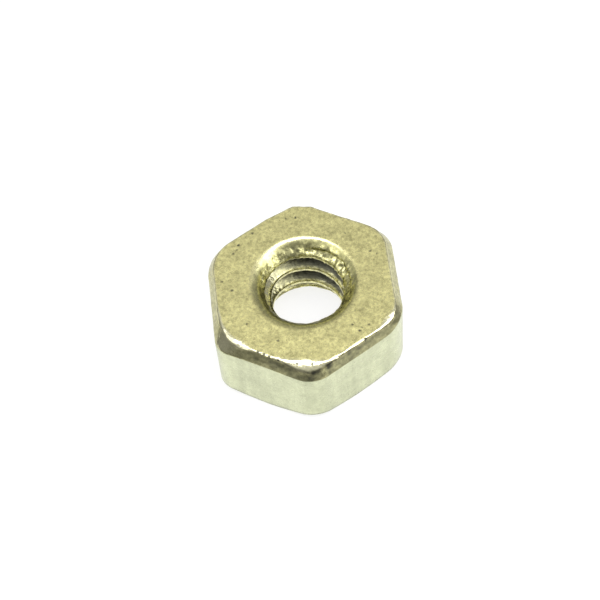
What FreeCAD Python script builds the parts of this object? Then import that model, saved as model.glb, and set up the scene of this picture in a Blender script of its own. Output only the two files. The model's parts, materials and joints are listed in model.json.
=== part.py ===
import FreeCAD, Part

# Plain hex nut for a number 6 machine screw, 32 threads to the inch. Millimetres and degrees.
#
# The origin is the centre of the bottom bearing face, on the axis of the threaded hole. +Z runs up the hole.
# Two corners of the hexagon lie on the X axis and two of its flats face +Y and -Y.

import math
import os

# Hexagon
FLAT_COUNT = 6
ACROSS_FLATS = 6.35
THICKNESS = 2.90
CORNER_RADIUS = 1.00  # of the vertical edges, from the forming die

# Top edge: a steep band all the way round, whose upper outline has much rounder corners than the body
BAND_DEPTH = 0.48
BAND_INSET = 0.25
TOP_CORNER_RADIUS = 1.95
TOP_EDGE_RADIUS = 0.10

# Bottom edge: a shallow cone that leaves a round bearing face and takes off the six corners
BEARING_DIAMETER = 6.20
BOTTOM_CONE_SLOPE = 27.0  # degrees up from the bearing face

# Threaded hole, 6-32 UNC, right-handed
THREADS_PER_INCH = 32
MAJOR_DIAMETER = 3.505
MINOR_DIAMETER = 2.74
THREAD_FLANK = 30.0  # degrees between a flank and the plane square to the axis
THREAD_START = -95.0  # degrees from +X to where the middle of the groove meets the bearing face

# Countersinks, one at each end of the hole
COUNTERSINK_DIAMETER = 3.76
TOP_COUNTERSINK_DEPTH = 0.46
BOTTOM_COUNTERSINK_DEPTH = 0.52
LIP_RADIUS = 0.25  # rounds the mouth of the top countersink into the top face

MILLIMETRES_PER_INCH = 25.4
FULL_TURN = 360.0
SPARE = 1.0  # how far a cutting shape runs past the metal it cuts

PITCH = MILLIMETRES_PER_INCH / THREADS_PER_INCH
ROOT_FLAT = PITCH / 8
APOTHEM = ACROSS_FLATS / 2
MINOR_RADIUS = MINOR_DIAMETER / 2
MAJOR_RADIUS = MAJOR_DIAMETER / 2
UP = FreeCAD.Vector(0, 0, 1)
CENTRE = FreeCAD.Vector(0, 0, 0)


def polar(radius, degrees, height):
    """The point at this distance and direction from the axis."""
    turn = math.radians(degrees)
    return FreeCAD.Vector(radius * math.cos(turn), radius * math.sin(turn), height)


def rounded_hexagon(apothem, corner_radius, height):
    """A level hexagon with rounded corners, as a closed wire of six arcs and six straight sides."""
    step = FULL_TURN / FLAT_COUNT
    arc_centre_distance = (apothem - corner_radius) / math.cos(math.radians(step / 2))
    arcs = []
    for corner in range(FLAT_COUNT):
        direction = corner * step
        centre = polar(arc_centre_distance, direction, height)
        start, middle, end = (
            centre + polar(corner_radius, direction + turn, 0) for turn in (-step / 2, 0, step / 2)
        )
        arcs.append(Part.Arc(start, middle, end).toShape())
    edges = []
    for corner, arc in enumerate(arcs):
        following = arcs[(corner + 1) % FLAT_COUNT]
        edges += [arc, Part.LineSegment(arc.valueAt(arc.LastParameter),
                                        following.valueAt(following.FirstParameter)).toShape()]
    return Part.Wire(edges)


def revolved(outline):
    """A closed outline of (radius, height) points turned once round the axis."""
    points = [FreeCAD.Vector(radius, 0, height) for radius, height in outline]
    face = Part.Face(Part.makePolygon(points + points[:1]))
    return face.revolve(CENTRE, UP, FULL_TURN)


def blank():
    """The formed hexagon: straight sides, the steep band above them and the rounded top edge."""
    shoulder_height = THICKNESS - BAND_DEPTH
    lower = Part.Face(rounded_hexagon(APOTHEM, CORNER_RADIUS, 0)).extrude(UP * shoulder_height)
    band = Part.makeLoft(
        [
            rounded_hexagon(APOTHEM, CORNER_RADIUS, shoulder_height),
            rounded_hexagon(APOTHEM - BAND_INSET, TOP_CORNER_RADIUS, THICKNESS),
        ],
        True,
        True,
    )
    top_edges = [edge for edge in band.Edges if edge.BoundBox.ZMin > THICKNESS - TOP_EDGE_RADIUS]
    return lower.fuse(band.makeFillet(TOP_EDGE_RADIUS, top_edges))


def bottom_cone_envelope():
    """Everything inside the cone that takes off the bottom corners."""
    bearing_radius = BEARING_DIAMETER / 2
    outer_radius = APOTHEM / math.cos(math.pi / FLAT_COUNT) + SPARE
    rise = (outer_radius - bearing_radius) * math.tan(math.radians(BOTTOM_CONE_SLOPE))
    top = THICKNESS + SPARE
    return revolved([(0, 0), (bearing_radius, 0), (outer_radius, rise), (outer_radius, top), (0, top)])


def plain_hole():
    """The hole before it is tapped. Its wall is four quarter cylinders."""
    quarter = FULL_TURN / 4
    arcs = []
    for start in range(4):
        ends = [polar(MINOR_RADIUS, (start + share) * quarter, -SPARE) for share in (0, 0.5, 1)]
        arcs.append(Part.Arc(*ends).toShape())
    return Part.Face(Part.Wire(arcs)).extrude(UP * (THICKNESS + 2 * SPARE))


def bottom_countersink():
    """The cone that opens the hole at the bearing face."""
    mouth = COUNTERSINK_DIAMETER / 2
    slope = (mouth - MINOR_RADIUS) / BOTTOM_COUNTERSINK_DEPTH
    apex_height = mouth / slope
    return revolved([(0, apex_height), (mouth + slope * SPARE, -SPARE), (0, -SPARE)])


def top_countersink():
    """The cone that opens the hole at the top face, with its mouth rounded over."""
    mouth = COUNTERSINK_DIAMETER / 2
    slope = (mouth - MINOR_RADIUS) / TOP_COUNTERSINK_DEPTH
    half_angle = math.atan(slope)
    tangent_length = LIP_RADIUS * math.tan((math.pi / 2 - half_angle) / 2)
    outer = FreeCAD.Vector(mouth + tangent_length, 0, THICKNESS)
    inner = FreeCAD.Vector(
        mouth - tangent_length * math.sin(half_angle), 0, THICKNESS - tangent_length * math.cos(half_angle)
    )
    arc_centre = outer - UP * LIP_RADIUS
    to_middle = (outer - arc_centre) + (inner - arc_centre)
    middle = arc_centre + to_middle.normalize() * LIP_RADIUS
    apex = FreeCAD.Vector(0, 0, THICKNESS - mouth / slope)
    above_axis = FreeCAD.Vector(0, 0, THICKNESS + SPARE)
    above_mouth = outer + UP * SPARE
    outline = Part.Wire(
        [
            Part.LineSegment(apex, inner).toShape(),
            Part.Arc(inner, middle, outer).toShape(),
            Part.LineSegment(outer, above_mouth).toShape(),
            Part.LineSegment(above_mouth, above_axis).toShape(),
            Part.LineSegment(above_axis, apex).toShape(),
        ]
    )
    return Part.Face(outline).revolve(CENTRE, UP, FULL_TURN)


def groove_turn():
    """One turn of the groove that the tap cuts: a truncated V swept up a right-hand helix."""
    inner_radius = MINOR_RADIUS - ROOT_FLAT
    inner_half = ROOT_FLAT / 2 + (MAJOR_RADIUS - inner_radius) * math.tan(math.radians(THREAD_FLANK))
    corners = [
        FreeCAD.Vector(inner_radius, 0, -inner_half),
        FreeCAD.Vector(MAJOR_RADIUS, 0, -ROOT_FLAT / 2),
        FreeCAD.Vector(MAJOR_RADIUS, 0, ROOT_FLAT / 2),
        FreeCAD.Vector(inner_radius, 0, inner_half),
    ]
    section = Part.makePolygon(corners + corners[:1])
    helix = Part.makeHelix(PITCH, PITCH, MINOR_RADIUS)
    turn = Part.Wire(helix).makePipeShell([section], True, True)
    turn.rotate(CENTRE, UP, THREAD_START)
    return turn


def tapped(body):
    """The body with the groove cut from below its bottom face to above its top face, a turn at a time."""
    turn = groove_turn()
    for number in range(-1, math.ceil(THICKNESS / PITCH) + 1):
        body = body.cut(turn.translated(UP * (number * PITCH)))
    return body


def hex_nut():
    """The nut, one solid piece of metal."""
    body = blank().common(bottom_cone_envelope())
    for opening in (plain_hole(), bottom_countersink(), top_countersink()):
        body = body.cut(opening)
    return tapped(body)


def main():
    os.makedirs("parts", exist_ok=True)
    shape = hex_nut()
    shape.exportStep("parts/hex_nut.step")
    print(f"hex_nut: valid {shape.isValid()}, solids {len(shape.Solids)}, volume {shape.Volume:.3f} mm3")


main()
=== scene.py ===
import itertools
import json
import math
from dataclasses import dataclass

import bmesh
import bpy
import numpy as np
from mathutils import Matrix, Vector

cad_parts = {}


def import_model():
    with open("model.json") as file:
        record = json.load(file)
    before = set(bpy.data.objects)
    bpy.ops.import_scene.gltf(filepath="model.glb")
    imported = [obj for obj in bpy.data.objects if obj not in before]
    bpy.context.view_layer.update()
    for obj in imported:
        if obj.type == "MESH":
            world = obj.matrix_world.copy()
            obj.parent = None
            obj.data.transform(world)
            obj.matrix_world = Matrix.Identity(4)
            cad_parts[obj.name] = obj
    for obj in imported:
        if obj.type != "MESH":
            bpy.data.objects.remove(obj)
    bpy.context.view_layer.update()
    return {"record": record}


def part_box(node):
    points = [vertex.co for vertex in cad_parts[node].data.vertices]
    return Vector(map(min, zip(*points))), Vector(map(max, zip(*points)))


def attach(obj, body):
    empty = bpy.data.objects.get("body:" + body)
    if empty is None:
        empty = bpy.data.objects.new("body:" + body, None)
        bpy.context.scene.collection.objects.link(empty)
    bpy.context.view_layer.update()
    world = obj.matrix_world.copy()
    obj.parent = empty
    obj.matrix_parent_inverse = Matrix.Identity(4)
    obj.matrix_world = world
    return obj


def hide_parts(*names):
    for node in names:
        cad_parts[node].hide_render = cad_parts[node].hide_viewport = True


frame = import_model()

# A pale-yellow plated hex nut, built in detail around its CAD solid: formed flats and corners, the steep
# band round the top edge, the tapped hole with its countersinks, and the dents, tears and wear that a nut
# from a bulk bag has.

FULL_TURN = 2 * math.pi
FLATS = 6

# ---------------------------------------------------------------- sizes, all worked out from the frame
LOW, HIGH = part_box("hex_nut")
THREAD = next(mount for mount in frame["record"]["mounts"] if mount["name"] == "thread")
ACROSS_FLATS = HIGH.y - LOW.y
THICKNESS = HIGH.z - LOW.z
MM = ACROSS_FLATS / 6.35  # a millimetre: the nut is 6.35 of them across flats

# The tapped hole. It stands a little off the middle of the nut, and the tap has pushed its crests inwards.
PITCH = ACROSS_FLATS / 8
CREST_PUSH = 0.12 * MM
MINOR_RADIUS = THREAD["dims"]["r_mm"] / 1000 - CREST_PUSH
MAJOR_RADIUS = 0.27 * ACROSS_FLATS
GROOVE_DEPTH = MAJOR_RADIUS - MINOR_RADIUS
ROOT_FLAT = PITCH / 8
FLANK = math.radians(30)
THREAD_START = math.radians(-95)
HOLE_OFFSET = 0.15 * MM
HOLE_OFFSET_DIRECTION = math.radians(80)
BURR = 0.065 * MM  # how much further the thread stands into the hole on its burred side
RUN_OUT = (0.15 * MM, 0.30 * MM)  # how far inside either face the groove starts, and becomes full
CLOSING = (2.15 * MM, 2.40 * MM)  # at the front, the groove closes up between these heights
CREASE = 0.03 * MM  # width of the rounding along the edges of the thread and the mouths

# Its mouths. The top one was punched towards one side, so it is wide and crisp there, and narrow and soft
# opposite.
TOP_MOUTH_RADIUS = 0.271 * ACROSS_FLATS
TOP_MOUTH_SHIFT = 0.15 * MM
TOP_MOUTH_DIRECTION = math.radians(75)
TOP_MOUTH_DEPTH = 0.50 * MM
TOP_LIP_RADIUS = 0.38 * MM
TOP_LIP_CHANGE = 0.15 * MM
CRISPEST_LIP = math.radians(60)
BOTTOM_MOUTH_RADIUS = 0.296 * ACROSS_FLATS
BOTTOM_MOUTH_DEPTH = 0.52 * MM
BOTTOM_LIP_RADIUS = 0.15 * MM
LIP_START = 0.03 * MM  # how far inside each face the rows of the hole stop and those of the lip begin
HOLE_REACH = 1.95 * MM  # what is nearer to the axis than this is worn as the hole and its mouths are

# The band round the top edge, the rounded edges above and below it, and the cone under the corners
BAND_DEPTH = 0.48 * MM
BAND_INSET = 0.25 * MM
TOP_EDGE_RADIUS = 0.045 * MM
MOST_OF_BAND = 0.7  # the rounded top edge takes up no more than this share of the band
SHOULDER_RADIUS = 0.10 * MM
BEARING_RADIUS = 3.10 * MM
BOTTOM_CONE_SLOPE = math.tan(math.radians(27))

# The forging isn't quite regular. Each flat has its own offset and inset, starting with the one that faces 30
# degrees from +X, and each corner has its own radii, starting with the one on +X.
FLAT_OFFSETS = np.array([0.00, 0.02, -0.07, -0.05, 0.04, -0.05]) * MM
BAND_INSETS = BAND_INSET + np.array([-0.02, -0.03, -0.03, -0.05, -0.01, -0.11]) * MM
CORNER_RADII = np.array([1.30, 0.95, 0.75, 1.30, 0.70, 1.05]) * MM
TOP_CORNER_RADII = np.array([1.30, 1.15, 0.40, 1.30, 1.88, 1.50]) * MM

# Straight cuts that leave one corner of the top face crooked: the direction they face in degrees, and their
# distance from the axis in mm
TOP_CUTS = ((142, 2.933), (112, 3.135))

# Where the band is shallower, and where the top edge has been rolled over more: direction and half-width in
# degrees, and the change of depth or radius in mm
BAND_RISES = ((262, 22, 0.08), (4, 11, 0.20))
EDGE_SWELLS = (
    (300, 60, 0.05),
    (295, 11, 0.44),
    (251, 6, 0.24),
    (240, 7, 0.14),
    (227, 5, 0.08),
    (356, 6, 0.20),
)

# Pits and knocks in the top face and its edge: direction in degrees, and distance from the axis and width
# in mm
TOP_MARKS = (
    (167, 2.72, 0.10),
    (171, 2.66, 0.07),
    (175, 2.68, 0.09),
    (153, 2.71, 0.09),
    (119, 2.70, 0.08),
    (126, 2.72, 0.07),
    (78, 2.45, 0.07),
    (52, 2.57, 0.08),
    (48, 2.72, 0.07),
    (208, 2.38, 0.09),
    (200, 2.71, 0.08),
    (243, 2.39, 0.08),
    (273, 2.34, 0.09),
    (338, 2.31, 0.08),
    (338, 2.65, 0.10),
    (341, 2.62, 0.07),
    (346, 2.73, 0.09),
    (336, 2.99, 0.10),
    (299, 3.10, 0.10),
    (290, 3.07, 0.10),
    (278, 3.01, 0.08),
    (272, 2.97, 0.09),
    (268, 2.96, 0.10),
    (264, 2.97, 0.09),
)
MARK_SLOPE = 0.06  # depth of a mark as a share of its width

# Sides of the nut that differ from the rest: the direction of their middle and their half-width, in degrees
FRONT = (300, 75)  # the top edge is nicked and the top of the thread is closed up
BURRED = (200, 32)
TORN = (72, 48)
# The next side gets a painted highlight on its thread flanks and no painted shade in its grooves.
SHEEN_ON_THREAD = (189, 42)
# On the next side the band gets painted shade.
SHADED_BAND = (308, 48)
UNSHADED_STREAK = (305, 1.5)  # a narrow streak left without the painted shade, so it shows lighter, like a highlight
# The next side gets painted shade on the steep inner part of the top mouth's lip.
SHADED_LIP = (275, 57)
# On the next side the wall of the top mouth is darker in a patch.
DARKER_MOUTH_PATCH = (133, 17)
# The next side gets a painted highlight on the lip of the top mouth.
SHEEN_ON_LIP = (130, 60)

# ---------------------------------------------------------------- mesh density
COLUMNS = 582
CORNER_CROWDING = 0.45  # how much closer together the columns stand at the corners
ROWS_PER_PITCH = 20
LIP_ROWS = 10
TOP_ROWS = 26
EDGE_ROWS = 12
BAND_ROWS = 9
SHOULDER_ROWS = 3
SIDE_ROWS = 20
CONE_ROWS = 4
BEARING_ROWS = 8
BOTTOM_LIP_ROWS = 5
WELD_DISTANCE = 1e-8  # metres, so that only points in the same place are joined

# ---------------------------------------------------------------- finish
# Colour of the plating on each part of the surface, of its polished places and painted highlights, and of the
# grime and painted shade on it
PLATING = {
    "hole": (0.73, 0.70, 0.335),
    "top": (0.785, 0.735, 0.343),
    "edge": (0.77, 0.725, 0.38),
    # The band's colour is a darker copy of the plating: painted shade for the dark it reflects.
    "band": (0.525, 0.505, 0.265),
    "side": (0.65, 0.68, 0.452),
}
POLISHED_AND_SHEEN = (0.88, 0.85, 0.60, 1)
GRIMY_AND_SHADED = (0.085, 0.085, 0.062, 1)

# ---------------------------------------------------------------- camera and light
CAMERA_AZIMUTH = 28.2
CAMERA_ELEVATION = 57.7
CAMERA_ROLL = 5.6
CAMERA_DISTANCE = 9 * ACROSS_FLATS
CAMERA_LENS = 101
CAMERA_SENSOR = 36
AIM_LEFT = 0.028 * ACROSS_FLATS  # the camera aims this far to the left of the nut's middle
AIM_ABOVE = 0.036 * ACROSS_FLATS  # and this far above it
LIGHT_DISTANCE = 12 * ACROSS_FLATS
FLOOR_GLOW = 0.80
ROOM_BRIGHTNESS = 0.73
HORIZON_BRIGHTNESS = 0.29
BRIGHTEST_AZIMUTH = CAMERA_AZIMUTH - 90  # a little to the left of straight overhead
BRIGHTEST_ELEVATION = 84
ROOM_FADE = (0.36, 0.94)  # cosines of the angles from there at which the room is dimmest, and brightest


# ---------------------------------------------------------------- noise
def lattice(cells, seed):
    """A repeatable number from -1 to 1 for each whole-number cell, by hashing with large primes."""
    x, y, z = (cells[..., axis] * prime for axis, prime in enumerate((73856093, 19349663, 83492791)))
    mixed = x ^ y ^ z ^ seed * 2654435761
    mixed = (mixed ^ mixed >> 15) * 2246822519 & 0xFFFFFFFF
    mixed = (mixed ^ mixed >> 13) * 3266489917 & 0xFFFFFFFF
    return (mixed ^ mixed >> 16) / 0x7FFFFFFF - 1


def smooth_noise(points, size, seed):
    """Smooth noise from -1 to 1 with bumps of about this size."""
    scaled = points / size
    cells = np.floor(scaled).astype(np.int64)
    part = scaled - cells
    part = part * part * (3 - 2 * part)
    total = np.zeros(len(points))
    for corner in itertools.product((0, 1), repeat=3):
        weight = np.prod(np.where(corner, part, 1 - part), axis=-1)
        total += weight * lattice(cells + corner, seed)
    return total


def rough_noise(points, size, seed, layers=3):
    """Several layers of noise, each half the size and half the height of the one before."""
    return sum(smooth_noise(points, size / 2**n, seed + n) / 2**n for n in range(layers))


# ---------------------------------------------------------------- shape of the sections
def soft_larger(a, b, width):
    """The larger of the two, with the crease between them rounded over this width."""
    return (a + b + np.sqrt((a - b) ** 2 + width**2)) / 2


def soft_step(value, start, end):
    """0 before start, 1 after end, and smooth between them."""
    share = np.clip((value - start) / (end - start), 0, 1)
    return share * share * (3 - 2 * share)


def hump(directions, side):
    """1 in the middle of this side of the nut, falling smoothly to 0 to the left and right of it."""
    centre, half_width = (math.radians(degrees) for degrees in side)
    away = (directions - centre + math.pi) % FULL_TURN - math.pi
    return np.exp(-((away / half_width) ** 2))


def swelling(directions, places):
    """The sum of several humps. Each has its direction and half-width in degrees, and its height in mm."""
    return sum(hump(directions, side) * height * MM for *side, height in places)


def straight_side(directions, facing, apothem):
    """Distance from the axis to a straight side that faces this way. Behind it there is no limit."""
    toward = np.cos(directions - facing)
    return np.where(toward > 0.5, apothem / np.maximum(toward, 0.5), np.inf)


def outline(directions, apothems, corner_radii):
    """Distance from the axis to a rounded hexagon in each direction."""
    step = FULL_TURN / FLATS
    sides = [straight_side(directions, step * (flat + 0.5), apothem) for flat, apothem in enumerate(apothems)]
    reach = np.min(sides, axis=0)
    for corner, radius in enumerate(corner_radii):
        normals = step * (corner - 0.5), step * (corner + 0.5)
        facing = np.array([[math.cos(turn), math.sin(turn)] for turn in normals])
        flats = np.array([apothems[corner - 1], apothems[corner]]) - radius
        centre = np.linalg.solve(facing, flats)
        starts, ends = centre + radius * facing
        along = centre[0] * np.cos(directions) + centre[1] * np.sin(directions)
        arc = along + np.sqrt(np.maximum(along**2 - centre @ centre + radius**2, 0))
        after_start = starts[0] * np.sin(directions) - starts[1] * np.cos(directions) >= 0
        before_end = ends[0] * np.sin(directions) - ends[1] * np.cos(directions) <= 0
        reach = np.where((along > 0) & after_start & before_end, arc, reach)
    return reach


@dataclass
class Mouth:
    """A conical mouth of the hole, rounded over at its rim. Heights are measured inwards from its face."""

    radius: np.ndarray
    depth: float
    lip_radius: np.ndarray

    def __post_init__(self):
        self.slope = (self.radius - MINOR_RADIUS) / self.depth
        self.angle = np.arctan(1 / self.slope)
        tangent = self.lip_radius * np.tan(self.angle / 2)
        self.rim = self.radius + tangent
        self.lip_depth = tangent * np.sin(self.angle)

    def radius_at(self, inward):
        """Distance from the axis to the wall of the mouth at this height."""
        cone = self.radius - inward * self.slope
        arc = self.rim - np.sqrt(np.maximum(self.lip_radius**2 - (self.lip_radius - inward) ** 2, 0))
        return np.where(inward < self.lip_depth, arc, cone)

    def lip(self, steps):
        """Radii and heights of the rounded lip, from just outside the rows of the hole to the rim."""
        first = np.arccos(1 - LIP_START / self.lip_radius)
        for share in np.linspace(1, 0, steps + 1)[1:]:
            turn = first * share
            yield self.rim - self.lip_radius * np.sin(turn), self.lip_radius * (1 - np.cos(turn))


def groove_depth(directions, heights):
    """Depth of the thread groove in each direction and height. It runs out into both mouths."""
    turns = (directions - THREAD_START) / FULL_TURN
    from_groove = np.abs((heights / PITCH - turns + 0.5) % 1 - 0.5) * PITCH
    depth = GROOVE_DEPTH - (from_groove - ROOT_FLAT / 2) / math.tan(FLANK)
    depth = soft_larger(GROOVE_DEPTH - soft_larger(GROOVE_DEPTH - depth, 0, CREASE), 0, CREASE)
    run_out = soft_step(THICKNESS - heights, *RUN_OUT) * soft_step(heights, *RUN_OUT)
    closed = hump(directions, FRONT) * soft_step(heights, *CLOSING)
    return depth * run_out * (1 - closed)


# ---------------------------------------------------------------- rows of points, round the section
def rows_of_hole(directions, top, bottom):
    """Rows that climb with the thread, cut off level at both ends."""
    lowest, highest = LIP_START, THICKNESS - LIP_START
    count = math.ceil(((highest - lowest) / PITCH + 1) * ROWS_PER_PITCH)
    snap = PITCH / ROWS_PER_PITCH / 3
    shift = HOLE_OFFSET * np.cos(directions - HOLE_OFFSET_DIRECTION) - BURR * hump(directions, BURRED)
    for number in range(count + 1):
        heights = lowest + PITCH * (number / ROWS_PER_PITCH + directions / FULL_TURN - 1)
        heights = np.where(heights < lowest + snap, lowest, heights)
        heights = np.where(heights > highest - snap, highest, heights)
        thread = MINOR_RADIUS + shift + groove_depth(directions, heights)
        mouths = np.maximum(top.radius_at(THICKNESS - heights), bottom.radius_at(heights))
        yield soft_larger(thread, mouths, CREASE), heights


def rows_between(start, end, count):
    """Evenly spaced rows after start, up to and with end. Each is a pair of radii and heights."""
    for share in np.linspace(0, 1, count + 1)[1:]:
        yield tuple(first + (last - first) * share for first, last in zip(start, end))


def rows_of_top_edge(shoulder, top, depth, radius):
    """The rounded edge between the top face and the band, from the face down."""
    steepness = np.arctan2(depth, shoulder - top)
    radius = np.minimum(radius, MOST_OF_BAND * np.hypot(depth, shoulder - top) / np.tan(steepness / 2))
    centre = top - radius * np.tan(steepness / 2)
    for share in np.linspace(0, 1, EDGE_ROWS + 1):
        turn = steepness * share
        yield centre + radius * np.sin(turn), THICKNESS - radius + radius * np.cos(turn)


def rows_of_shoulder(shoulder, top, depth):
    """The rounded edge between the band and the flats, from the band down."""
    bend = math.pi / 2 - np.arctan2(depth, shoulder - top)
    centre = shoulder - SHOULDER_RADIUS
    centre_height = THICKNESS - depth - SHOULDER_RADIUS * np.tan(bend / 2)
    for share in np.linspace(1, 0, SHOULDER_ROWS + 1):
        turn = bend * share
        yield centre + SHOULDER_RADIUS * np.cos(turn), centre_height + SHOULDER_RADIUS * np.sin(turn)


def hole_mouths(directions):
    """The top mouth and the bottom mouth of the hole."""
    level = np.ones(len(directions))
    top = Mouth(
        TOP_MOUTH_RADIUS + TOP_MOUTH_SHIFT * np.cos(directions - TOP_MOUTH_DIRECTION),
        TOP_MOUTH_DEPTH,
        TOP_LIP_RADIUS - TOP_LIP_CHANGE * np.cos(directions - CRISPEST_LIP),
    )
    return top, Mouth(BOTTOM_MOUTH_RADIUS * level, BOTTOM_MOUTH_DEPTH, BOTTOM_LIP_RADIUS * level)


def top_outline(directions, apothems):
    """Distance from the axis to the edge of the top face, before the edge is rounded."""
    top = outline(directions, apothems - BAND_INSETS, TOP_CORNER_RADII)
    for degrees, distance in TOP_CUTS:
        top = np.minimum(top, straight_side(directions, math.radians(degrees), distance * MM))
    return top


def nut_rows(directions):
    """Every row of the nut's surface in order round the closed section, each with the name of its finish."""
    level = np.ones(len(directions))
    top_mouth, bottom_mouth = hole_mouths(directions)
    apothems = ACROSS_FLATS / 2 + FLAT_OFFSETS
    shoulder = outline(directions, apothems, CORNER_RADII)
    top = top_outline(directions, apothems)
    edge_radius = TOP_EDGE_RADIUS + swelling(directions, EDGE_SWELLS)
    band_depth = BAND_DEPTH - swelling(directions, BAND_RISES)
    edge = list(rows_of_top_edge(shoulder, top, band_depth, edge_radius))
    turn = list(rows_of_shoulder(shoulder, top, band_depth))
    cone_top = shoulder, np.maximum(shoulder - BEARING_RADIUS, 0) * BOTTOM_CONE_SLOPE
    cone_foot = BEARING_RADIUS * level, 0 * level

    rows = []

    def add(finish, new_rows):
        rows.extend((finish, radius, height * level) for radius, height in new_rows)

    add("hole", rows_of_hole(directions, top_mouth, bottom_mouth))
    add("top", ((radius, THICKNESS - inward) for radius, inward in top_mouth.lip(LIP_ROWS)))
    add("top", list(rows_between((top_mouth.rim, THICKNESS), edge[0], TOP_ROWS))[:-1])
    add("edge", edge)
    add("band", list(rows_between(edge[-1], turn[0], BAND_ROWS))[:-1])
    add("band", turn[:2])  # the upper half of the shoulder has the band's colour
    add("side", turn[2:])
    add("side", rows_between(turn[-1], cone_top, SIDE_ROWS))
    add("side", rows_between(cone_top, cone_foot, CONE_ROWS))
    add("top", list(rows_between(cone_foot, (bottom_mouth.rim, 0), BEARING_ROWS))[:-1])
    add("top", reversed(list(bottom_mouth.lip(BOTTOM_LIP_ROWS))))
    return rows


def weld(mesh):
    """Joins the points that meet, and turns every face outwards."""
    working = bmesh.new()
    working.from_mesh(mesh)
    bmesh.ops.remove_doubles(working, verts=working.verts, dist=WELD_DISTANCE)
    bmesh.ops.recalc_face_normals(working, faces=working.faces)
    working.to_mesh(mesh)
    working.free()


def nut_mesh():
    """The nut's closed surface before wear: a grid of columns round the axis and rows round the section."""
    even = np.linspace(0, FULL_TURN, COLUMNS + 1)
    directions = even - CORNER_CROWDING * np.sin(FLATS * even) / FLATS
    rows = nut_rows(directions)
    radii = np.array([radius for _, radius, _ in rows])
    heights = np.array([height for _, _, height in rows])
    points = np.stack([radii * np.cos(directions), radii * np.sin(directions), heights], axis=-1)
    numbers = np.arange(len(rows) * (COLUMNS + 1)).reshape(len(rows), COLUMNS + 1)
    following = np.roll(numbers, -1, axis=0)
    faces = np.stack([numbers[:, :-1], numbers[:, 1:], following[:, 1:], following[:, :-1]], axis=-1)
    mesh = bpy.data.meshes.new("nut_body")
    mesh.from_pydata(points.reshape(-1, 3).tolist(), [], faces.reshape(-1, 4).tolist())
    colours = np.repeat([(*PLATING[finish], 1.0) for finish, _, _ in rows], COLUMNS + 1, axis=0)
    mesh.attributes.new("plating", "FLOAT_COLOR", "POINT").data.foreach_set("color", colours.ravel())
    weld(mesh)
    return mesh


# ---------------------------------------------------------------- wear
@dataclass
class Surface:
    """The points and normals of the nut's clean surface, and what its wear depends on."""

    points: np.ndarray
    normals: np.ndarray

    def __post_init__(self):
        self.height = self.points[:, 2]
        self.depth = THICKNESS - self.height  # below the top face
        self.radius = np.hypot(self.points[:, 0], self.points[:, 1])
        self.directions = np.arctan2(self.points[:, 1], self.points[:, 0])
        self.tilt = np.degrees(np.arccos(np.clip(self.normals[:, 2], -1, 1)))  # 0 faces up, 180 faces down


def bumps(surface, size, height, seed, layers=3):
    """Rough noise with bumps of this size and height in mm."""
    return rough_noise(surface.points, size * MM, seed, layers) * height * MM


def marks(surface):
    """Depth of the pits and knocks in the top face and its edge."""
    depth = np.zeros(len(surface.points))
    near_top = surface.height > THICKNESS - BAND_DEPTH
    for degrees, distance, width in TOP_MARKS:
        turn = math.radians(degrees)
        centre = np.array([math.cos(turn), math.sin(turn)]) * distance * MM
        away = np.hypot(*(surface.points[:, :2] - centre).T) / (width * MM / 2)
        depth = np.maximum(depth, np.where(near_top, width * MM * MARK_SLOPE * np.exp(-(away**2)), 0))
    return depth


def edge_share(surface):
    """1 on the rounded top edge, 0 on the faces beside it."""
    outside = soft_step(surface.radius, 2.2 * MM, 2.6 * MM) * soft_step(surface.height, 2.2 * MM, 2.5 * MM)
    return outside * soft_step(surface.tilt, 3, 9) * (1 - soft_step(surface.tilt, 40, 58))


def band_share(surface):
    """1 on the steep band round the top edge, 0 on the faces beside it."""
    outside = (surface.radius > 2.4 * MM) * (surface.height > THICKNESS / 2)
    return outside * soft_step(surface.tilt, 38, 52) * (1 - soft_step(surface.tilt, 72, 84))


def hole_share(surface):
    """1 on the wall of the hole and its mouths, 0 outside."""
    return soft_step(HOLE_REACH - surface.radius, 0, 0.1 * MM)


def groove_share(surface):
    """1 at the bottom of the thread groove, 0 on its crests and outside the hole."""
    share = groove_depth(surface.directions, surface.height) / GROOVE_DEPTH
    below_mouth = soft_step(surface.depth, 0.42 * MM, 0.55 * MM)
    return share * below_mouth * (surface.radius < 1.9 * MM)


def relief(surface):
    """How far each point stands out from, or below, the clean surface."""
    front = hump(surface.directions, FRONT)
    torn_side = hump(surface.directions, TORN)
    in_hole = hole_share(surface)
    in_mouth = soft_step(surface.height, 1.9 * MM, 2.3 * MM) * soft_step(surface.depth, 0.08 * MM, 0.2 * MM)
    below_lip = soft_step(surface.depth, 0.30 * MM, 0.50 * MM)
    forged = bumps(surface, size=0.9, height=0.005, seed=1)
    skin = bumps(surface, size=0.13, height=0.0013, seed=20, layers=2)
    nicks = bumps(surface, size=0.28, height=0.018, seed=40) * edge_share(surface) * (0.15 + 0.85 * front)
    dents = bumps(surface, size=0.35, height=0.012, seed=50) * band_share(surface)
    tears = bumps(surface, size=0.16, height=0.030, seed=60) * in_hole * in_mouth * (0.35 + torn_side)
    grit = bumps(surface, size=0.09, height=0.008, seed=70, layers=2) * in_hole * in_mouth
    chatter = bumps(surface, size=0.18, height=0.017, seed=80) * in_hole * below_lip * (0.2 + torn_side)
    return forged + skin + nicks + dents + tears + grit + chatter - marks(surface)


def grain(surface):
    """How grainy the plating is: rough in the hole below its lip, smooth on the flats."""
    in_hole = hole_share(surface) * soft_step(surface.depth, 0.08 * MM, 0.25 * MM)
    on_flats = (1 - hole_share(surface)) * soft_step(surface.tilt, 70, 88)
    return 1 + 1.2 * in_hole - 0.7 * on_flats


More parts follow.
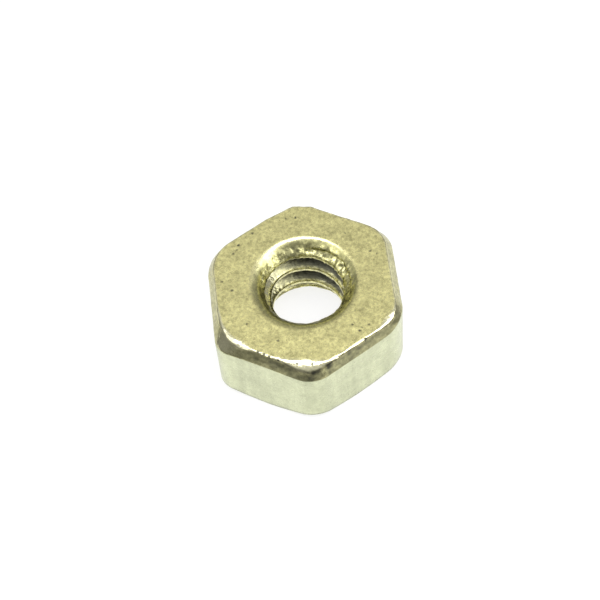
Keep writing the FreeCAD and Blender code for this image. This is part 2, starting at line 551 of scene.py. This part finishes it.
def darkening_in_hole(surface, patchy):
    """Painted shade in the thread grooves and on the near side of the top mouth's lip, and darker patches on
    the mouth wall below its rim.
    """
    # Painted shade in the thread grooves, left off on the side of the thread that catches the light and near
    # the bottom face.
    groove = soft_step(groove_share(surface), 0.03, 0.25) * (1 - hump(surface.directions, SHEEN_ON_THREAD))
    groove = groove * soft_step(surface.height, 0.35 * MM, 0.55 * MM)
    # Painted shade on the steep inner part of the top mouth's lip, on its near side.
    lip = hump(surface.directions, SHADED_LIP) * soft_step(surface.tilt, 24, 40) * 0.7
    lip = lip * hole_share(surface) * (surface.depth < 0.5 * MM)
    # The mouth wall below its rim is darker in patches, most of all on one side.
    in_mouth = (surface.height > THICKNESS - 0.5 * MM) * hole_share(surface)
    below_rim = soft_step(surface.tilt, 26, 36) * in_mouth
    darker_wall = below_rim * (0.04 + 0.28 * patchy + 0.40 * hump(surface.directions, DARKER_MOUTH_PATCH))
    return np.max([groove, lip, darker_wall], axis=0)


def pits_and_shade_outside(surface, patchy):
    """Grime in the pits, painted shade on the front of the band, and a painted contact shadow at the foot of
    the flats.
    """
    pits = soft_step(marks(surface), 0.001 * MM, 0.003 * MM) * 0.95
    # Painted shade on the front of the band, darker near its top edge and in patches, except for a narrow
    # streak.
    front = hump(surface.directions, SHADED_BAND) * (1 - hump(surface.directions, UNSHADED_STREAK))
    under_edge = soft_step(surface.height, THICKNESS - 0.28 * MM, THICKNESS - 0.18 * MM)
    band_shade = front * band_share(surface) * (0.50 + 0.42 * patchy + 0.28 * under_edge)
    # A painted contact shadow along the foot of the flats.
    foot_shadow = soft_step(0.10 * MM - surface.height, 0, 0.06 * MM) * (surface.tilt < 100) * (0.5 + 0.5 * patchy)
    return np.max([pits, band_shade, foot_shadow], axis=0)


def grime_and_shade(surface):
    """How dark each point is made, from 0 to 1: grime in the pits, darker patches in the top mouth, and
    painted shade and a painted contact shadow elsewhere.
    """
    patchy = rough_noise(surface.points, 0.18 * MM, seed=90)
    return np.clip(np.maximum(darkening_in_hole(surface, patchy), pits_and_shade_outside(surface, patchy)), 0, 1)


def polish_and_sheen(surface):
    """How polished each point is, from 0 to 1: the rounded edges and the crests of the thread are. The far
    side of the top mouth's lip and the flanks on one side of the thread get a painted highlight.
    """
    # A painted highlight on the lip of the top mouth, on its far side.
    lip = soft_step(surface.tilt, 4, 10) * (1 - soft_step(surface.tilt, 27, 36)) * (surface.radius < 2.2 * MM)
    lip = lip * hump(surface.directions, SHEEN_ON_LIP) * 0.5
    in_thread = (surface.radius < 1.6 * MM) * (surface.height < 2.3 * MM)
    on_crest = 0.3 - 0.3 * soft_step(groove_share(surface), 0.02, 0.2)
    # Polish on the crests, and a painted highlight on the flanks of one side of the thread.
    thread = in_thread * np.maximum(on_crest, hump(surface.directions, SHEEN_ON_THREAD))
    return np.max([lip, thread, edge_share(surface)], axis=0)


def vectors(collection, name):
    """A property of every item in a Blender collection, as rows of three numbers."""
    values = np.empty(len(collection) * 3)
    collection.foreach_get(name, values)
    return values.reshape(-1, 3)


def worn(mesh):
    """Marks the grainy places, the grime and painted shade, and the polish and painted highlights, then moves
    every point along its normal by the relief.
    """
    surface = Surface(vectors(mesh.vertices, "co"), vectors(mesh.vertex_normals, "vector"))
    for made in (grain, grime_and_shade, polish_and_sheen):
        mesh.attributes.new(made.__name__, "FLOAT", "POINT").data.foreach_set("value", made(surface))
    points = surface.points + surface.normals * relief(surface)[:, None]
    points[:, 2] = np.maximum(points[:, 2], 0)  # nothing stands below the bearing face
    mesh.vertices.foreach_set("co", points.ravel())
    mesh.update()


# ---------------------------------------------------------------- material
class Nodes:
    """Short names for making and joining the nodes of one material."""

    def __init__(self, material):
        material.use_nodes = True
        self.nodes, self.links = material.node_tree.nodes, material.node_tree.links
        self.shader = self.nodes["Principled BSDF"]

    def add(self, kind, inputs=(), **settings):
        """A new node with these settings. An input is either a value or another node's output."""
        node = self.nodes.new(f"ShaderNode{kind}")
        for name, value in settings.items():
            setattr(node, name, value)
        for name, value in dict(inputs).items():
            self.join(value, node.inputs[name])
        return node

    def join(self, value, socket):
        """Links an output to the socket, or sets the socket's own value."""
        if isinstance(value, bpy.types.NodeSocket):
            self.links.new(value, socket)
        else:
            socket.default_value = value

    def attribute(self, name):
        """A vertex attribute of the mesh, as a node with a colour and a number."""
        return self.add("Attribute", attribute_name=name).outputs

    def noise(self, where, size, detail=3, roughness=0.5):
        """Noise with blots of about this size. Nearly all of it lies between 0.3 and 0.7."""
        inputs = {"Vector": where, "Scale": 1 / size, "Detail": detail, "Roughness": roughness}
        return self.add("TexNoise", inputs).outputs["Fac"]

    def remap(self, value, low, high, to_low, to_high):
        """The value moved from one range to another, smoothly, and kept inside it."""
        inputs = {"Value": value, "From Min": low, "From Max": high, "To Min": to_low, "To Max": to_high}
        return self.add("MapRange", inputs, interpolation_type="SMOOTHSTEP").outputs["Result"]

    def varied(self, where, size, to_low, to_high, **kind):
        """Noise with blots of about this size that runs all the way from one value to the other."""
        return self.remap(self.noise(where, size, **kind), 0.3, 0.7, to_low, to_high)

    def multiply(self, first, second):
        """The product of two numbers."""
        return self.add("Math", {0: first, 1: second}, operation="MULTIPLY").outputs[0]

    def sum(self, first, second):
        """The sum of two numbers."""
        return self.add("Math", {0: first, 1: second}, operation="ADD").outputs[0]

    def scaled(self, colour, factor):
        """A colour made brighter or darker."""
        return self.add("VectorMath", {0: colour, "Scale": factor}, operation="SCALE").outputs[0]

    def mixed(self, factor, first, second):
        """Two colours mixed. The node's colour sockets go by number, because their names aren't unique."""
        node = self.add("Mix", data_type="RGBA")
        self.join(factor, node.inputs[0])
        self.join(first, node.inputs[6])
        self.join(second, node.inputs[7])
        return node.outputs[2]


def plated_steel():
    """Pale yellow chromate plating over steel, rubbed on its edges and grimy in its pits, darker in patches
    in the top mouth, with painted highlights and painted shade in places.
    """
    material = bpy.data.materials.new("plated_steel")
    made = Nodes(material)
    where = made.add("TexCoord").outputs["Object"]
    up_the_flats = made.add("Mapping", {"Vector": where, "Scale": (1, 1, 0.12)}).outputs["Vector"]
    plating = made.attribute("plating")["Color"]
    grainy, grime_and_shade_share, polish_and_sheen_share = (made.attribute(name)["Fac"] for name in ("grain", "grime_and_shade", "polish_and_sheen"))

    blotches = made.varied(where, 0.6 * MM, 0.92, 1.06)
    streaks = made.varied(up_the_flats, 0.40 * MM, 0.90, 1.06)
    mottle = made.varied(where, 0.12 * MM, -0.30, 0.25, detail=4, roughness=0.8)
    mottle = made.sum(1.0, made.multiply(mottle, grainy))
    specks = made.remap(made.noise(where, 0.07 * MM, detail=1), 0.70, 0.78, 1.0, 0.6)
    tone = made.multiply(made.multiply(blotches, streaks), made.multiply(mottle, specks))
    colour = made.scaled(plating, tone)
    # This whitens the rubbed edges and crests, and lays on the painted highlights on the lip and one side of
    # the thread.
    colour = made.mixed(made.multiply(polish_and_sheen_share, 0.75), colour, POLISHED_AND_SHEEN)
    # This darkens the grimy pits, and lays on the painted shade and the painted contact shadow.
    colour = made.mixed(grime_and_shade_share, colour, GRIMY_AND_SHADED)
    made.join(colour, made.shader.inputs["Base Color"])
    made.shader.inputs["Metallic"].default_value = 1.0

    roughness = made.varied(where, 0.18 * MM, 0.26, 0.35)
    smoother = made.remap(polish_and_sheen_share, 0, 1, 1.0, 0.6)
    rougher = made.remap(grime_and_shade_share, 0, 1, 1.0, 1.3)
    made.join(made.multiply(made.multiply(roughness, smoother), rougher), made.shader.inputs["Roughness"])

    height = made.multiply(made.noise(where, 0.11 * MM, detail=2), grainy)
    bump = made.add("Bump", {"Height": height, "Distance": 0.005 * MM, "Strength": 1.0})
    made.join(bump.outputs["Normal"], made.shader.inputs["Normal"])
    return material


def nut():
    """The nut itself, in place of the plain CAD solid."""
    mesh = nut_mesh()
    worn(mesh)
    mesh.polygons.foreach_set("use_smooth", [True] * len(mesh.polygons))
    piece = bpy.data.objects.new("nut_body", mesh)
    bpy.context.scene.collection.objects.link(piece)
    mesh.materials.append(plated_steel())
    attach(piece, "root")
    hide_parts("hex_nut")
    return piece


# ---------------------------------------------------------------- floor, light and camera
def direction(azimuth, elevation):
    """The unit vector for a viewing direction. Azimuth 0 is the front, -Y, and 90 is +X."""
    turn, climb = math.radians(azimuth), math.radians(elevation)
    return Vector((math.sin(turn) * math.cos(climb), -math.cos(turn) * math.cos(climb), math.sin(climb)))


def staging(name, points, faces, base, specular, glow):
    """A plain surface that glows evenly and isn't part of the nut, and the shader of its material."""
    mesh = bpy.data.meshes.new(name)
    mesh.from_pydata(points, [], faces)
    piece = bpy.data.objects.new(name, mesh)
    bpy.context.scene.collection.objects.link(piece)
    material = bpy.data.materials.new(name)
    material.use_nodes = True
    shader = material.node_tree.nodes["Principled BSDF"]
    shader.inputs["Base Color"].default_value = (base, base, base, 1)
    shader.inputs["Specular IOR Level"].default_value = specular
    shader.inputs["Emission Color"].default_value = (1, 1, 1, 1)
    shader.inputs["Emission Strength"].default_value = glow
    mesh.materials.append(material)
    return piece, shader


def floor():
    """A plain pale floor under the nut, lit a little from below like a light table."""
    half = 60 * ACROSS_FLATS
    corners = [(-half, -half, 0), (half, -half, 0), (half, half, 0), (-half, half, 0)]
    piece, shader = staging("floor", corners, [(0, 1, 2, 3)], base=0.25, specular=0.1, glow=FLOOR_GLOW)
    shader.inputs["Roughness"].default_value = 0.9
    return piece


def card(name, azimuths, elevations, distance, glow):
    """A curved card that shows only in the metal's reflections, between these azimuths and elevations."""
    steps = 24
    points = [
        direction(azimuth, elevation) * distance
        for elevation in np.linspace(*elevations, steps + 1)
        for azimuth in np.linspace(*azimuths, steps + 1)
    ]
    row_starts = [row * (steps + 1) for row in range(steps)]
    faces = [
        (start + column, start + column + 1, start + column + steps + 2, start + column + steps + 1)
        for start in row_starts
        for column in range(steps)
    ]
    piece, _ = staging(name, points, faces, base=0, specular=0, glow=glow)
    piece.visible_camera = False
    piece.visible_diffuse = False
    piece.visible_shadow = False
    piece.visible_transmission = False
    return piece


def softbox(name, azimuth, elevation, width, height, radiance):
    """An oval soft light of this size and brightness that faces the nut from this direction."""
    away = direction(azimuth, elevation)
    level = direction(azimuth + 90, 0)
    data = bpy.data.lights.new(name, "AREA")
    data.shape = "ELLIPSE"
    data.size = width
    data.size_y = height
    data.energy = radiance * math.pi**2 * width * height / 4  # radiance times pi times the oval's area
    lamp = bpy.data.objects.new(name, data)
    turned = Matrix((level, away.cross(level), away)).transposed().to_4x4()
    lamp.matrix_world = Matrix.Translation(away * LIGHT_DISTANCE) @ turned
    bpy.context.scene.collection.objects.link(lamp)
    return lamp


def world():
    """The studio beyond the lights: an even soft grey, brightest overhead and dimmer at the horizon."""
    made = bpy.data.worlds.new("studio")
    bpy.context.scene.world = made
    made.use_nodes = True
    nodes, links = made.node_tree.nodes, made.node_tree.links
    away = nodes.new("ShaderNodeTexCoord")
    closeness = nodes.new("ShaderNodeVectorMath")
    closeness.operation = "DOT_PRODUCT"
    closeness.inputs[1].default_value = direction(BRIGHTEST_AZIMUTH, BRIGHTEST_ELEVATION)
    fade = nodes.new("ShaderNodeMapRange")
    fade.interpolation_type = "SMOOTHSTEP"
    fade.inputs["From Min"].default_value, fade.inputs["From Max"].default_value = ROOM_FADE
    fade.inputs["To Min"].default_value = HORIZON_BRIGHTNESS
    fade.inputs["To Max"].default_value = ROOM_BRIGHTNESS
    links.new(away.outputs["Generated"], closeness.inputs[0])
    links.new(closeness.outputs["Value"], fade.inputs["Value"])
    links.new(fade.outputs["Result"], nodes["Background"].inputs["Strength"])
    nodes["Background"].inputs["Color"].default_value = (1, 1, 1, 1)
    return made


def camera():
    """The camera, at the viewing angle of a close shot from above one corner."""
    roll = math.radians(CAMERA_ROLL)
    back = direction(CAMERA_AZIMUTH, CAMERA_ELEVATION)
    target = Vector((0, 0, THICKNESS / 2))
    location = target + back * CAMERA_DISTANCE
    level = direction(CAMERA_AZIMUTH + 90, 0)
    upright = back.cross(level)
    right = level * math.cos(roll) - upright * math.sin(roll)
    up = level * math.sin(roll) + upright * math.cos(roll)
    aim = target - right * AIM_LEFT + up * AIM_ABOVE
    toward = (location - aim).normalized()
    right = (right - toward * right.dot(toward)).normalized()
    up = toward.cross(right)
    data = bpy.data.cameras.new("camera")
    data.sensor_width = CAMERA_SENSOR
    data.lens = CAMERA_LENS
    data.clip_start = ACROSS_FLATS / 4
    data.clip_end = 1000 * ACROSS_FLATS
    made = bpy.data.objects.new("camera", data)
    made.matrix_world = Matrix.Translation(location) @ Matrix((right, up, toward)).transposed().to_4x4()
    bpy.context.scene.collection.objects.link(made)
    bpy.context.scene.camera = made
    return made


nut()
floor()
world()
softbox("overhead", 28, 86, 15 * ACROSS_FLATS, 6.6 * ACROSS_FLATS, radiance=3.4)
softbox("right", 104, 42, 9 * ACROSS_FLATS, 9 * ACROSS_FLATS, radiance=2.4)
softbox("left", 303, 46, 6 * ACROSS_FLATS, 6 * ACROSS_FLATS, radiance=1.0)
card("horizon", azimuths=(-100, 140), elevations=(1, 20), distance=2.4 * ACROSS_FLATS, glow=0.28)
camera()
bpy.context.scene.view_settings.view_transform = "Standard"
